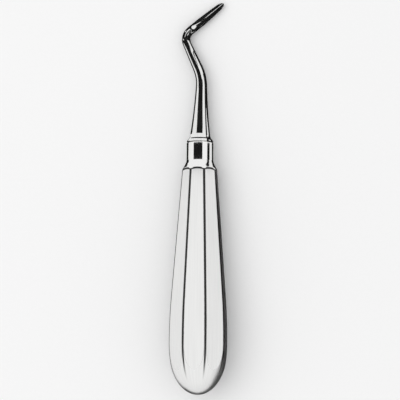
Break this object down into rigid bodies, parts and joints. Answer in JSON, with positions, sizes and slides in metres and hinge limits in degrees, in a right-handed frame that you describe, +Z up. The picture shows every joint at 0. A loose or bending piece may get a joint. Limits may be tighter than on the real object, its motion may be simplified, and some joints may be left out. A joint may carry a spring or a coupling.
{
  "type": "apical elevator",
  "caption": "Surgical hand elevator: hollow eight-sided pear handle with a round collar, a tapering double-bent shank and a narrow hollow-ground gouge blade.",
  "frame": {"origin": "middle of the handle's lowest facet, on the surface that the instrument lies on", "axes": "+Z up, out of the uppermost facet's side; +Y from the butt towards the blade, along the facet's centre line; +X to the side that the blade's tip points to. The instrument lies on one plane facet, so its own axis runs 4.21 degrees nose-down from +Y."},
  "size_m": [0.021, 0.1497, 0.0219],
  "materials": {
    "satin_steel": "satin",
    "polished_steel": "polished"
  },
  "bodies": {
    "root": {"handle_shell": "satin_steel", "blade_and_shank": "polished_steel"}
  },
  "joints": []
}
